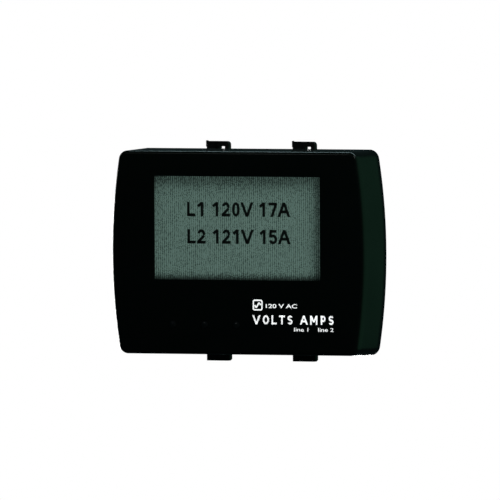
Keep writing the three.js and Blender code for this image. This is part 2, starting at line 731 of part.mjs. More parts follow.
// A lead that rises from the bay's top wall and turns down to the board's connector.
function batteryLead(startX, endX) {
  const wire = 0.55;
  const start = DOOR.top + BAY.wall + FIT;
  const mouthY = BOARD_BACK + REST + CONNECTOR.thick / 2;
  const end = CONNECTOR.z - CONNECTOR.halfHeight + 0.8;
  const route = new THREE.CatmullRomCurve3([
    new THREE.Vector3(startX, -12, start),
    new THREE.Vector3(startX + 0.4, -13, start + 2),
    new THREE.Vector3((startX + endX) / 2, (mouthY - 13) / 2, start + 2.6),
    new THREE.Vector3(endX, mouthY, end - 2.6),
    new THREE.Vector3(endX, mouthY, end),
  ]);
  return tube(route, wire, 14);
}

addNode(displayUnit, "battery_lead_positive", batteryLead(9, CONNECTOR.x - 1.5), MATERIALS.redWire);
addNode(displayUnit, "battery_lead_negative", batteryLead(14, CONNECTOR.x + 1.5), MATERIALS.blackWire);

export default display;
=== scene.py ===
import json
import math

import bmesh
import bpy
from mathutils import Matrix, Vector


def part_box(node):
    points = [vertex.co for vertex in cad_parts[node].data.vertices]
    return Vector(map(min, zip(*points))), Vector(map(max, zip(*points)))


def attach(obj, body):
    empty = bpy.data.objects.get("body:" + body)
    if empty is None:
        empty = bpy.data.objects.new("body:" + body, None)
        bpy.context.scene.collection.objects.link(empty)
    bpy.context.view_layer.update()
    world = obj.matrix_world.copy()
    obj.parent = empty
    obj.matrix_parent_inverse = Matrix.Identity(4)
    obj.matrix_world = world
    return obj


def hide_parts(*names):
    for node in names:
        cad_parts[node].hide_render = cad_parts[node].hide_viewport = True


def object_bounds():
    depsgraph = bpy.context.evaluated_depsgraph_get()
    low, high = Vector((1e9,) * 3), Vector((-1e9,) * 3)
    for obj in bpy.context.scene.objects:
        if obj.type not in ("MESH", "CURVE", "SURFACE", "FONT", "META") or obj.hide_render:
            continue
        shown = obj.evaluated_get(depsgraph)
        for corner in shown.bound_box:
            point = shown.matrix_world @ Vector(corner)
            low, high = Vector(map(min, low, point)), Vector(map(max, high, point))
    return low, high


# Looks of a wall-mounted remote power monitor display, in metres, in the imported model's frame:
# +X is to the right of someone reading it, +Z is up, the front faces -Y and the wall is at Y = 0.

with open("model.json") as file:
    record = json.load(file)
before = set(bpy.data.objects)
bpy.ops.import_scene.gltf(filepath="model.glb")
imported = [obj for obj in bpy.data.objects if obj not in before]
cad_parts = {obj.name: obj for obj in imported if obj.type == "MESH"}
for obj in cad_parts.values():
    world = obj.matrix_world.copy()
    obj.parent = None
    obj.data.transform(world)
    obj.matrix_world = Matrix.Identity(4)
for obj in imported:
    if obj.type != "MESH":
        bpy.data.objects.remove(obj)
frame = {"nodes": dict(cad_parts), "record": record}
cad_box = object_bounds()
NODES = frame["nodes"]
MM = 0.001

# ---- Sizes, from the frame ----

CASE_LOW, CASE_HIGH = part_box("front_housing")
FRONT, BACK = CASE_LOW.y, CASE_HIGH.y
HALF_WIDTH, HALF_HEIGHT = CASE_HIGH.x, CASE_HIGH.z
DEPTH = BACK - FRONT
CORNER = 5 * MM
SIDE_RADIUS = 287 * MM
DRAFT = 0.6 * MM
FILLET = 1.5 * MM
WALL = 2.2 * MM
LENS_LOW, LENS_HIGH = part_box("display_window")
# The front housing hides this much of the clear window at its left, its right, and its top and bottom.
HIDDEN_LEFT, HIDDEN_RIGHT, HIDDEN_LEVEL = 1.5 * MM, 1.86 * MM, 1.26 * MM
WINDOW_LEFT, WINDOW_RIGHT = LENS_LOW.x + HIDDEN_LEFT, LENS_HIGH.x - HIDDEN_RIGHT
WINDOW_LOW, WINDOW_TOP = LENS_LOW.z + HIDDEN_LEVEL, LENS_HIGH.z - HIDDEN_LEVEL
WINDOW_CORNER = 0.6 * MM
LIP = 1.1 * MM
GLASS_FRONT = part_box("lcd_glass")[0].y
INNER_FRONT = FRONT + 2 * MM
BUTTONS = ["button_1", "button_2", "button_3"]
CAP_RADIUS = 1.75 * MM
SLIP = 0.25 * MM


def centre(node):
    low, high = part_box(node)
    return (low + high) / 2


# ---- Camera, almost square to the front from the right, and far off ----

VIEW_AZIMUTH, VIEW_ELEVATION, VIEW_ROLL = math.radians(24), math.radians(1.9), math.radians(-0.29)
FRAME_WIDTH = 239.75 * MM
LENS_MM, SENSOR_MM = 1600, 36
AIM = Vector((-0.11 * MM, FRONT * 0.48, 0.98 * MM))


def camera():
    data = bpy.data.cameras.new("camera")
    data.lens, data.sensor_width = LENS_MM, SENSOR_MM
    data.clip_end = 50
    cam = bpy.data.objects.new("camera", data)
    bpy.context.scene.collection.objects.link(cam)
    back = Vector((
        math.sin(VIEW_AZIMUTH) * math.cos(VIEW_ELEVATION),
        -math.cos(VIEW_AZIMUTH) * math.cos(VIEW_ELEVATION),
        math.sin(VIEW_ELEVATION),
    ))
    turn = (-back).to_track_quat("-Z", "Y").to_matrix() @ Matrix.Rotation(VIEW_ROLL, 3, "Z")
    cam.matrix_world = Matrix.Translation(AIM + back * FRAME_WIDTH * LENS_MM / SENSOR_MM) @ turn.to_4x4()
    bpy.context.scene.camera = cam


camera()

# ---- Materials ----


class Look:
    """A Principled material built from nodes, in the model's metres."""

    def __init__(self, name):
        self.material = bpy.data.materials.new(name)
        self.material.use_nodes = True
        self.tree = self.material.node_tree
        self.shader = self.tree.nodes["Principled BSDF"]
        self.place = self.add("ShaderNodeTexCoord").outputs["Object"]

    def add(self, kind, **settings):
        node = self.tree.nodes.new(kind)
        for key, value in settings.items():
            setattr(node, key, value)
        return node

    def wire(self, source, target):
        self.tree.links.new(source, target)

    def put(self, socket, value):
        """Links value to the socket if it is an output, or else sets it there."""
        if isinstance(value, bpy.types.NodeSocket):
            self.wire(value, socket)
        else:
            socket.default_value = value

    def math(self, operation, *values, clamp=False):
        node = self.add("ShaderNodeMath", operation=operation, use_clamp=clamp)
        for socket, value in zip(node.inputs, values):
            self.put(socket, value)
        return node.outputs[0]

    def noise(self, size, detail=2.0, stretch=(1, 1, 1)):
        """Noise whose features are about size metres across, from 0 to 1."""
        mapping = self.add("ShaderNodeMapping")
        mapping.inputs["Scale"].default_value = stretch
        self.wire(self.place, mapping.inputs["Vector"])
        node = self.add("ShaderNodeTexNoise")
        node.inputs["Scale"].default_value = 1 / size
        node.inputs["Detail"].default_value = detail
        self.wire(mapping.outputs[0], node.inputs["Vector"])
        return node.outputs["Fac"]

    def cells(self, size):
        node = self.add("ShaderNodeTexVoronoi")
        node.inputs["Scale"].default_value = 1 / size
        self.wire(self.place, node.inputs["Vector"])
        return node.outputs["Distance"]

    def spread(self, value, low, high, to_low=0.0, to_high=1.0):
        """Maps value's range low..high to to_low..to_high, smoothly."""
        node = self.add("ShaderNodeMapRange", interpolation_type="SMOOTHSTEP")
        for socket, number in zip(node.inputs, (value, low, high, to_low, to_high)):
            self.put(socket, number)
        return node.outputs[0]

    def mix(self, share, first, second):
        node = self.add("ShaderNodeMix", data_type="RGBA")
        sockets = [s for s in node.inputs if s.enabled]
        for socket, value in zip(sockets, (share, first, second)):
            self.put(socket, value)
        return [s for s in node.outputs if s.enabled][0]

    def bump(self, height, distance, strength=1.0, normal=None):
        node = self.add("ShaderNodeBump")
        node.inputs["Distance"].default_value = distance
        node.inputs["Strength"].default_value = strength
        self.wire(height, node.inputs["Height"])
        if normal is not None:
            self.wire(normal, node.inputs["Normal"])
        return node.outputs[0]

    def set(self, **sockets):
        """Puts each value on the shader's socket of that name, with _ for a space."""
        for name, value in sockets.items():
            self.put(self.shader.inputs[name.replace("_", " ")], value)
        return self.material


def rgb(red, green, blue):
    return (red, green, blue, 1.0)


def moulded(name, dark, light, roughness, grain, depth, specular=0.5):
    """Moulded plastic: a fine spark-eroded grain, faint flow marks and finger-polished patches."""
    look = Look(name)
    polish = look.noise(28 * MM, 3)
    fine = look.noise(grain, 3)
    flow = look.noise(9 * MM, 2, (0.35, 1, 1))
    tone = look.math("MULTIPLY", flow, look.spread(fine, 0.3, 0.7))
    scratches = look.noise(0.5 * MM, 2, (0.05, 1, 1.3))
    scratch = look.spread(scratches, 0.68, 0.76)
    gloss = look.spread(polish, 0.35, 0.7, roughness - 0.02, roughness + 0.02)
    rough = look.math("SUBTRACT", gloss, look.math("MULTIPLY", scratch, 0.06), clamp=True)
    grained = look.bump(look.cells(grain), depth, 0.5)
    return look.set(
        Base_Color=look.mix(tone, dark, light),
        Roughness=rough,
        Specular_IOR_Level=specular,
        Normal=look.bump(fine, depth, 0.6, grained),
    )


def metal(name, dark, light, roughness, stretch=(1, 1, 1), metallic=1.0):
    """Plated or brushed metal with fine drawing lines and dull spots."""
    look = Look(name)
    lines = look.noise(0.35 * MM, 3, stretch)
    stain = look.noise(4 * MM, 3)
    rough = look.spread(lines, 0.25, 0.75, roughness - 0.08, roughness + 0.12)
    return look.set(
        Base_Color=look.mix(look.spread(stain, 0.35, 0.7), dark, light),
        Metallic=metallic,
        Roughness=rough,
        Normal=look.bump(lines, 0.01 * MM, 0.4),
    )


def foam(name):
    look = Look(name)
    pores = look.cells(0.45 * MM)
    return look.set(
        Base_Color=look.mix(look.spread(pores, 0.1, 0.6), rgb(0.004, 0.004, 0.004), rgb(0.02, 0.02, 0.021)),
        Roughness=look.spread(pores, 0.1, 0.6, 0.98, 0.85),
        Normal=look.bump(pores, 0.12 * MM, 0.8),
    )


def solder_mask(name):
    """A green board: broad copper fills and thin traces show as a lighter green under the mask."""
    look = Look(name)
    brick = look.add("ShaderNodeTexBrick", offset=0.37)
    mapping = look.add("ShaderNodeMapping")
    mapping.inputs["Rotation"].default_value = (math.pi / 2, 0, 0)
    look.wire(look.place, mapping.inputs["Vector"])
    look.wire(mapping.outputs[0], brick.inputs["Vector"])
    for socket, value in (("Scale", 1 / (9 * MM)), ("Mortar Size", 0.035), ("Mortar Smooth", 0.1)):
        brick.inputs[socket].default_value = value
    fill = look.spread(look.noise(14 * MM, 1), 0.47, 0.5)
    copper = look.math("MAXIMUM", brick.outputs["Fac"], fill)
    speckle = look.noise(0.3 * MM, 2)
    return look.set(
        Base_Color=look.mix(copper, rgb(0.004, 0.045, 0.016), rgb(0.012, 0.13, 0.04)),
        Roughness=look.spread(speckle, 0.3, 0.7, 0.28, 0.42),
        Normal=look.bump(copper, 0.035 * MM, 0.7),
    )


def display_face(name):
    """The LCD's grey-green face: even in the middle and darker along its edges, where painted shade stands in
    for the shadow of the window's rim, with a fine grain of dots.
    """
    look = Look(name)
    split = look.add("ShaderNodeSeparateXYZ")
    look.wire(look.place, split.inputs[0])
    x, z = split.outputs["X"], split.outputs["Z"]
    # top, bottom, left and right are painted shade along the display's edges, standing in for the shadow that
    # the window's rim casts on it; light is their product and dims both the colour and the glow.
    top = look.spread(z, WINDOW_TOP - 12 * MM, WINDOW_TOP + 3 * MM, 1.0, 0.5)
    bottom = look.spread(z, WINDOW_LOW - 1 * MM, WINDOW_LOW + 5.5 * MM)
    left = look.spread(x, WINDOW_LEFT - 2 * MM, WINDOW_LEFT + 7 * MM, 0.75, 1.0)
    right = look.spread(x, WINDOW_RIGHT - 8 * MM, WINDOW_RIGHT + 1 * MM, 1.0, 0.28)
    light = look.math("MULTIPLY", look.math("MULTIPLY", top, bottom), look.math("MULTIPLY", left, right))
    dot_width, dot_height = 0.525 * MM, 0.5 * MM
    snap = look.add("ShaderNodeVectorMath", operation="SNAP")
    look.wire(look.place, snap.inputs[0])
    snap.inputs[1].default_value = (dot_width, 1, dot_height)
    random = look.add("ShaderNodeTexWhiteNoise")
    look.wire(snap.outputs[0], random.inputs["Vector"])
    dots = look.spread(random.outputs["Value"], 0, 1, 0.5, 1.5)
    row = look.add("ShaderNodeTexWhiteNoise", noise_dimensions="1D")
    look.wire(look.math("SNAP", z, dot_height), row.inputs["W"])
    column_width = 0.545 * MM
    shifted = look.math("ADD", x, look.math("MULTIPLY", row.outputs["Value"], 0.4 * column_width))
    columns = look.spread(look.math("PINGPONG", shifted, column_width), 0, column_width, 0.4, 1.6)
    cloud = look.spread(look.noise(16 * MM, 2), 0.3, 0.7, 0.96, 1.04)
    level = look.math("MULTIPLY", look.math("MULTIPLY", light, cloud), look.math("MULTIPLY", dots, columns))
    tint = look.mix(level, rgb(0, 0, 0), rgb(0.0626, 0.1034, 0.0884))
    return look.set(
        Base_Color=tint,
        Emission_Color=tint,
        Emission_Strength=0.9,
        Roughness=look.spread(look.noise(3 * MM, 2), 0.3, 0.7, 0.5, 0.6),
        Specular_IOR_Level=0.1,
        Normal=look.bump(look.noise(0.3 * MM, 1), 0.01 * MM, 0.3),
    )


def clear_window(name):
    """A thin clear acrylic window: faint smears change only its gloss."""
    look = Look(name)
    smear = look.noise(11 * MM, 4, (1, 1, 0.4))
    look.set(
        Base_Color=look.mix(smear, rgb(0.03, 0.036, 0.034), rgb(0.06, 0.07, 0.066)),
        Roughness=look.spread(smear, 0.3, 0.75, 0.06, 0.2),
        Alpha=0.02,
        Specular_IOR_Level=0.3,
        Normal=look.bump(look.noise(20 * MM, 1), 0.02 * MM, 0.2),
    )
    look.material.surface_render_method = "BLENDED"
    return look.material


def ink(name, color, speckle_color, painted_glow=0.0):
    """Printed or polarized black, or white pad-printed ink, with a slight mottle. The last argument makes the
    ink glow, which is painted light: it brightens the ink beyond what the lamps give.
    """
    look = Look(name)
    mottle = look.noise(0.25 * MM, 2)
    tint = look.mix(look.spread(mottle, 0.35, 0.75), color, speckle_color)
    return look.set(
        Base_Color=tint,
        Emission_Color=tint,
        Emission_Strength=painted_glow,
        Roughness=look.spread(mottle, 0.3, 0.7, 0.45, 0.6),
        Specular_IOR_Level=0.2,
        Normal=look.bump(mottle, 0.01 * MM, 0.4),
    )


def cell_jacket(name):
    """A printed cell sleeve with plain bands round it."""
    look = Look(name)
    split = look.add("ShaderNodeSeparateXYZ")
    look.wire(look.place, split.inputs[0])
    low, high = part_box("battery_1")
    share = look.spread(split.outputs["Z"], low.z, high.z)
    band = look.math("GREATER_THAN", look.math("PINGPONG", share, 0.27), 0.2)
    scuff = look.spread(look.noise(0.8 * MM, 3, (1, 1, 0.2)), 0.55, 0.75)
    base = look.mix(band, rgb(0.02, 0.06, 0.13), rgb(0.36, 0.37, 0.36))
    return look.set(
        Base_Color=look.mix(look.math("MULTIPLY", scuff, 0.3), base, rgb(0.5, 0.5, 0.5)),
        Metallic=0.35,
        Roughness=look.spread(scuff, 0, 1, 0.28, 0.45),
        Normal=look.bump(scuff, 0.02 * MM, 0.3),
    )


LOOKS = {
    "case_black": moulded("case_plastic", rgb(0.0003, 0.0007, 0.0005), rgb(0.0009, 0.0016, 0.0013), 0.22,
                          0.35 * MM, 0.005 * MM, 0.3),
    "bracket_black": moulded("bracket_plastic", rgb(0.0008, 0.0009, 0.0008), rgb(0.0028, 0.003, 0.0029), 0.42,
                             0.5 * MM, 0.01 * MM, 0.4),
    "button_black": moulded("button_plastic", rgb(0.0005, 0.0006, 0.0006), rgb(0.0015, 0.0016, 0.0016), 0.13,
                            0.2 * MM, 0.002 * MM, 0.9),
    "clear": clear_window("window_acrylic"),
    "foam": foam("gasket_foam"),
    "holder_white": moulded("holder_plastic", rgb(0.55, 0.56, 0.54), rgb(0.72, 0.73, 0.7), 0.45, 0.3 * MM,
                            0.01 * MM),
    "lcd_grey": display_face("lcd_face"),
    "light_guide": moulded("light_guide_acrylic", rgb(0.7, 0.75, 0.74), rgb(0.88, 0.9, 0.89), 0.2, 0.6 * MM,
                           0.01 * MM),
    "ribbon_amber": metal("ribbon_film", rgb(0.2, 0.07, 0.008), rgb(0.42, 0.2, 0.03), 0.35, (6, 1, 0.1), 0.2),
    "board_green": solder_mask("board_mask"),
    "chip_black": moulded("chip_moulding", rgb(0.006, 0.006, 0.006), rgb(0.016, 0.016, 0.017), 0.55,
                          0.15 * MM, 0.006 * MM),
    "plated": metal("nickel_plate", rgb(0.42, 0.41, 0.38), rgb(0.62, 0.61, 0.58), 0.3),
    "screw_steel": metal("zinc_plate", rgb(0.3, 0.31, 0.33), rgb(0.52, 0.53, 0.56), 0.34, (1, 0.1, 1)),
    "wire_red": moulded("wire_red", rgb(0.28, 0.006, 0.006), rgb(0.42, 0.014, 0.012), 0.4, 0.4 * MM,
                        0.01 * MM),
    "wire_black": moulded("wire_black", rgb(0.006, 0.006, 0.006), rgb(0.014, 0.014, 0.014), 0.4, 0.4 * MM,
                          0.01 * MM),
    "cell_jacket": cell_jacket("cell_jacket"),
}
REAR_PLASTIC = moulded("rear_plastic", rgb(0.009, 0.0095, 0.0092), rgb(0.02, 0.021, 0.0205), 0.42, 0.5 * MM,
                       0.012 * MM, 0.45)
LCD_INK = ink("lcd_segments", rgb(0.0003, 0.001, 0.0008), rgb(0.0008, 0.002, 0.0016))
# The white print glows a little: painted light that makes it brighter than the lamps alone would.
WHITE_INK = ink("white_print", rgb(0.88, 0.9, 0.9), rgb(0.76, 0.78, 0.78), 0.4)

for part in frame["record"]["subparts"]:
    for material_slot in NODES[part["node"]].material_slots:
        material_slot.material = LOOKS[part["material_slot"]]
for node in ("rear_cover", "battery_door"):
    for material_slot in NODES[node].material_slots:
        material_slot.material = REAR_PLASTIC

# ---- Mesh helpers ----


def mesh_object(name, bm, look, body, angle=math.radians(35)):
    """Makes bm an object that rides on a body, smooth except across sharp edges."""
    bmesh.ops.recalc_face_normals(bm, faces=bm.faces)
    for face in bm.faces:
        face.smooth = True
    for edge in bm.edges:
        edge.smooth = len(edge.link_faces) == 2 and edge.calc_face_angle(math.pi) < angle
    mesh = bpy.data.meshes.new(name)
    bm.to_mesh(mesh)
    bm.free()
    mesh.materials.append(look)
    piece = bpy.data.objects.new(name, mesh)
    bpy.context.scene.collection.objects.link(piece)
    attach(piece, body)
    return piece


def arc(centre_x, centre_z, radius, start, end, steps):
    """Points on an arc, leaving out the last, so that arcs chain up into a loop."""
    angles = [start + (end - start) * i / steps for i in range(steps)]
    return [(centre_x + radius * math.cos(a), centre_z + radius * math.sin(a)) for a in angles]


def case_outline(inset, side_steps=40, corner_steps=14):
    """The case's outline, moved inwards: bulged sides, straight top and bottom, rounded corners."""
    half_width, half_height = HALF_WIDTH - inset, HALF_HEIGHT - inset
    radius = max(CORNER - inset, 0.3 * MM)
    side_centre = half_width - SIDE_RADIUS
    reach = SIDE_RADIUS - radius
    corner_z = half_height - radius
    tilt = math.asin(corner_z / reach)
    corner_x = side_centre + reach * math.cos(tilt)
    half_turn = math.pi
    return (
        arc(side_centre, 0, SIDE_RADIUS, -tilt, tilt, side_steps)
        + arc(corner_x, corner_z, radius, tilt, half_turn / 2, corner_steps)
        + arc(-corner_x, corner_z, radius, half_turn / 2, half_turn - tilt, corner_steps)
        + arc(-side_centre, 0, SIDE_RADIUS, half_turn - tilt, half_turn + tilt, side_steps)
        + arc(-corner_x, -corner_z, radius, half_turn + tilt, half_turn * 1.5, corner_steps)
        + arc(corner_x, -corner_z, radius, half_turn * 1.5, 2 * half_turn - tilt, corner_steps)
    )


def rounded_box(left, right, low, high, radius, steps=6):
    """A rectangle's outline with rounded corners."""
    left, right, low, high = left + radius, right - radius, low + radius, high - radius
    quarter = math.pi / 2
    return (
        arc(right, high, radius, 0, quarter, steps)
        + arc(left, high, radius, quarter, 2 * quarter, steps)
        + arc(left, low, radius, 2 * quarter, 3 * quarter, steps)
        + arc(right, low, radius, 3 * quarter, 4 * quarter, steps)
    )


def window_outline(grow):
    """The display opening's outline, grown outwards."""
    return rounded_box(
        WINDOW_LEFT - grow, WINDOW_RIGHT + grow, WINDOW_LOW - grow, WINDOW_TOP + grow, WINDOW_CORNER)


def lens_pocket():
    """The outline of the room for the clear window, behind the opening's lip."""
    gap = 0.3 * MM
    return rounded_box(
        LENS_LOW.x - gap, LENS_HIGH.x + gap, LENS_LOW.z - gap, LENS_HIGH.z + gap, WINDOW_CORNER)


def carved(bm, low, high):
    """bm with a block cut out of it, given by its lowest and highest corners."""
    bmesh.ops.recalc_face_normals(bm, faces=bm.faces)
    block = bmesh.new()
    bmesh.ops.create_cube(block, size=1)
    for vertex in block.verts:
        vertex.co = [high[i] if vertex.co[i] > 0 else low[i] for i in range(3)]
    pair = []
    for source in (bm, block):
        mesh = bpy.data.meshes.new("carving")
        source.to_mesh(mesh)
        source.free()
        pair.append(bpy.data.objects.new("carving", mesh))
        bpy.context.scene.collection.objects.link(pair[-1])
    body, tool = pair
    cut = body.modifiers.new("cut", "BOOLEAN")
    cut.operation, cut.solver, cut.object = "DIFFERENCE", "EXACT", tool
    result = bmesh.new()
    result.from_object(body, bpy.context.evaluated_depsgraph_get())
    for item in pair:
        bpy.data.meshes.remove(item.data)
    return result


def ring_of(bm, outline, y):
    return [bm.verts.new((x, y, z)) for x, z in outline]


def bridge(bm, first, second):
    """Faces between two rings with the same number of points."""
    count = len(first)
    for i in range(count):
        j = (i + 1) % count
        bm.faces.new((first[i], first[j], second[j], second[i]))


def skin(bm, rings):
    for first, second in zip(rings, rings[1:]):
        bridge(bm, first, second)


def fill_flat(bm, loops):
    """A flat face whose outline is the first loop and whose holes are the others."""
    edges = []
    for loop in loops:
        edges += [bm.edges.get((loop[i], loop[(i + 1) % len(loop)])) or
                  bm.edges.new((loop[i], loop[(i + 1) % len(loop)])) for i in range(len(loop))]
    bmesh.ops.triangle_fill(bm, edges=edges, use_beauty=True, use_dissolve=False)


def rounding(radius, steps):
    """(inset, depth) along a quarter-round edge, from the side face to the front face."""
    angles = [math.pi / 2 * i / steps for i in range(steps + 1)]
    return [(radius - radius * math.cos(a), radius - radius * math.sin(a)) for a in angles]


# ---- Front housing ----


def hole_rings(bm, outline_at, edge, deeper, steps=4):
    """The walls of a hole with a softened front edge, as its first and last rings.

    outline_at(grow) is the hole's outline, grown outwards, and deeper holds the (outline, y) rings behind it.
    """
    lead = [(edge - inset, depth) for inset, depth in rounding(edge, steps)]
    rings = [ring_of(bm, outline_at(grow), FRONT + depth) for grow, depth in reversed(lead)]
    rings += [ring_of(bm, outline, y) for outline, y in deeper]
    skin(bm, rings)
    return rings[0], rings[-1]


def door_groove(bm):
    """The T-shaped groove through the bottom wall that the battery door slides down in."""
    low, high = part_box("battery_door")
    lip_width, lip_thick = 1.5 * MM, 0.75 * MM
    front, far = low.y - SLIP, 5 * MM
    bottom, top = low.z - far, low.z + far
    wide, narrow = high.x + SLIP, high.x - lip_width + SLIP
    bm = carved(bm, (-wide, front, bottom), (wide, low.y + lip_thick + SLIP, top))
    return carved(bm, (-narrow, front, bottom), (narrow, BACK + far, top))


def front_housing():
    """The whole front shell: rim, drafted side walls, rounded front edge, window and button holes."""
    bm = bmesh.new()
    rim_edge = 0.2 * MM
    outer = [(BACK - depth, inset) for inset, depth in reversed(rounding(rim_edge, 3))]
    wall_steps = 6
    front_end = FRONT + FILLET
    for i in range(1, wall_steps + 1):
        y = BACK - rim_edge + (front_end - BACK + rim_edge) * i / wall_steps
        outer.append((y, DRAFT * (BACK - y) / DEPTH))
    outer += [(FRONT + depth, DRAFT + inset) for inset, depth in rounding(FILLET, 10)[1:]]
    inner = [(INNER_FRONT, WALL), (BACK - rim_edge, WALL), (BACK, WALL - rim_edge)]
    rings = [ring_of(bm, case_outline(inset), y) for y, inset in inner + outer]
    skin(bm, rings)

    window_edge, button_edge = 0.35 * MM, 0.12 * MM
    pocket_front = FRONT + LIP
    behind = [(window_outline(0), pocket_front), (lens_pocket(), pocket_front), (lens_pocket(), INNER_FRONT)]
    holes = [hole_rings(bm, window_outline, window_edge, behind)]
    for name in BUTTONS:
        middle = centre(name)

        def button_hole(grow):
            return arc(middle.x, middle.z, CAP_RADIUS + SLIP + grow, 0, 2 * math.pi, 48)

        holes.append(hole_rings(bm, button_hole, button_edge, [(button_hole(0), INNER_FRONT)]))
    fill_flat(bm, [rings[-1]] + [front for front, _ in holes])
    fill_flat(bm, [rings[0]] + [back for _, back in holes])
    bm = door_groove(bm)
    piece = mesh_object("housing_shell", bm, LOOKS["case_black"], "display_unit")
    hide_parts("front_housing")
    return piece


front_housing()


# ---- Buttons ----


def button(name):
    """A domed cap with a softened shoulder, its flange and its stem."""
    low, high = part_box(name)
    middle = centre(name)
    crown = FRONT - low.y
    flange_front = INNER_FRONT + SLIP
    flange_back = flange_front + 1 * MM
    flange_radius, stem_radius = high.x - middle.x, 1.2 * MM
    shoulder = FRONT + 0.3 * MM
    sphere = (CAP_RADIUS ** 2 + crown ** 2) / (2 * crown)
    spread = math.asin(CAP_RADIUS / sphere)
    dome_steps = 10
    profile = []
    for i in range(1, dome_steps + 1):
        angle = spread * i / dome_steps
        profile.append((sphere * math.sin(angle), low.y + sphere - sphere * math.cos(angle)))
    profile += [
        (CAP_RADIUS, shoulder), (CAP_RADIUS, flange_front), (flange_radius, flange_front),
        (flange_radius, flange_back), (stem_radius, flange_back), (stem_radius, high.y),
    ]
    bm = bmesh.new()
    rings = [ring_of(bm, arc(middle.x, middle.z, radius, 0, 2 * math.pi, 40), y) for radius, y in profile]
    skin(bm, rings)
    tip = bm.verts.new((middle.x, low.y, middle.z))
    base = bm.verts.new((middle.x, high.y, middle.z))
    for loop, apex in ((rings[0], tip), (rings[-1], base)):
        for i in range(len(loop)):
            bm.faces.new((loop[i], loop[(i + 1) % len(loop)], apex))
    piece = mesh_object(name + "_cap", bm, LOOKS["button_black"], name)
    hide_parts(name)


for button_name in BUTTONS:
    button(button_name)


# ---- Softened edges on the bracket, the cover and the door ----


def soften(node, width):
    """Rounds a CAD node's sharp edges with modifiers, and leaves its mesh as it is."""
    piece = NODES[node]
    weld = piece.modifiers.new("weld", "WELD")
    weld.merge_threshold = 0.002 * MM
    bevel = piece.modifiers.new("bevel", "BEVEL")
    bevel.width, bevel.segments = width, 2
    bevel.limit_method, bevel.angle_limit = "ANGLE", math.radians(40)
    bevel.harden_normals = False
    bevel.use_clamp_overlap = True


SOFT_EDGES = {"wall_bracket": 0.25 * MM, "rear_cover": 0.2 * MM, "battery_door": 0.15 * MM}
for soft_node, soft_width in SOFT_EDGES.items():
    soften(soft_node, soft_width)

# ---- Readings on the display ----


class Glyphs:
    """Draws plain sans-serif characters as flat strokes. Places are shares of the capital height."""

    def __init__(self, y, cap, stroke):
        self.bm = bmesh.new()
        self.y = y
        self.cap = cap
        self.half = stroke / cap / 2
        self.pen = Vector((0, 0))

    def face(self, corners):
        scaled = [self.pen + Vector(c) * self.cap for c in corners]
        self.bm.faces.new([self.bm.verts.new((p.x, self.y, p.y)) for p in scaled])

    def bar(self, start, end, cut="square"):
        """A stroke between two points on its centre line; a "level" cut ends it along the line of text."""
        start, end = Vector(start), Vector(end)
        along = (end - start).normalized()
        if cut == "level":
            side = Vector((self.half / abs(along.y), 0))
        else:
            side = Vector((-along.y, along.x)) * self.half
        self.face([start - side, start + side, end + side, end - side])

    def bow(self, middle, size, start, end, steps=28):
        """A stroke along an ellipse, of the stroke's width all the way."""
        points = []
        for i in range(steps + 1):
            angle = math.radians(start + (end - start) * i / steps)
            across, up = math.cos(angle), math.sin(angle)
            points.append([
                (middle[0] + (size[0] + side) * across, middle[1] + (size[1] + side) * up)
                for side in (-self.half, self.half)
            ])
        for (a, b), (c, d) in zip(points, points[1:]):
            self.face([a, b, d, c])

    def draw(self, character):
        half = self.half
        if character == "L":
            self.bar((0.09 + half, 0), (0.09 + half, 1))
            self.bar((0.09, half), (0.72, half))
        elif character == "1":
            self.bar((0.46, 0), (0.46, 1))
            self.bar((0.15, 0.7), (0.44, 0.93))
        elif character in "0O":
            wide = 0.3 if character == "0" else 0.38
            self.bow((0.085 + wide, 0.5), (wide - half, 0.5 - half), 0, 360, 44)
        elif character == "2":
            self.bow((0.385, 0.7), (0.29 - half, 0.3 - half), 175, -28)
            self.bar((0.6, 0.56), (0.14, 0.12))
            self.bar((0.05, half), (0.7, half))
        elif character == "5":
            self.bow((0.37, 0.34), (0.32 - half, 0.34 - half), -160, 140)
            self.bar((0.155, 0.47), (0.2, 0.98))
            self.bar((0.14, 1 - half), (0.64, 1 - half))
        elif character == "7":
            self.bar((0.07, 1 - half), (0.7, 1 - half))
            self.bar((0.64, 0.92), (0.3, 0), "level")
        elif character == "V":
            self.bar((0.075, 1), (0.466, 0), "level")
            self.bar((0.857, 1), (0.466, 0), "level")
        elif character == "A":
            self.bar((0.075, 0), (0.466, 1), "level")
            self.bar((0.857, 0), (0.466, 1), "level")
            self.bar((0.24, 0.36), (0.7, 0.36))
        elif character == "T":
            self.bar((0.02, 1 - half), (0.74, 1 - half))
            self.bar((0.38, 0), (0.38, 1))
        elif character == "S":
            rise = (0.5 - half) / 2
            self.bow((0.38, 0.5 + rise), (0.3 - half, rise), 25, 270)
            self.bow((0.38, 0.5 - rise), (0.3 - half, rise), 90, -155)
        elif character == "M":
            left, middle, right = 0.08 + half, 0.525, 0.97 - half
            for foot in (left, right):
                self.bar((foot, 0), (foot, 1))
                self.bar((foot, 1), (middle, 0.28), "level")
        elif character == "P":
            waist, bowl = 0.42, 0.42
            self.bar((0.1 + half, 0), (0.1 + half, 1))
            self.bar((0.1, 1 - half), (bowl, 1 - half))
            self.bar((0.1, waist), (bowl, waist))
            self.bow((bowl, (1 - half + waist) / 2), (0.27 - half, (1 - half - waist) / 2), -90, 90)

    def write(self, text, x, z, advance):
        """Draws text from x, with advance(character) as the way from each character to the next."""
        self.pen = Vector((x, z))
        for character in text:
            self.draw(character)
            self.pen.x += advance(character)


SEGMENT_LIFT = 0.03 * MM


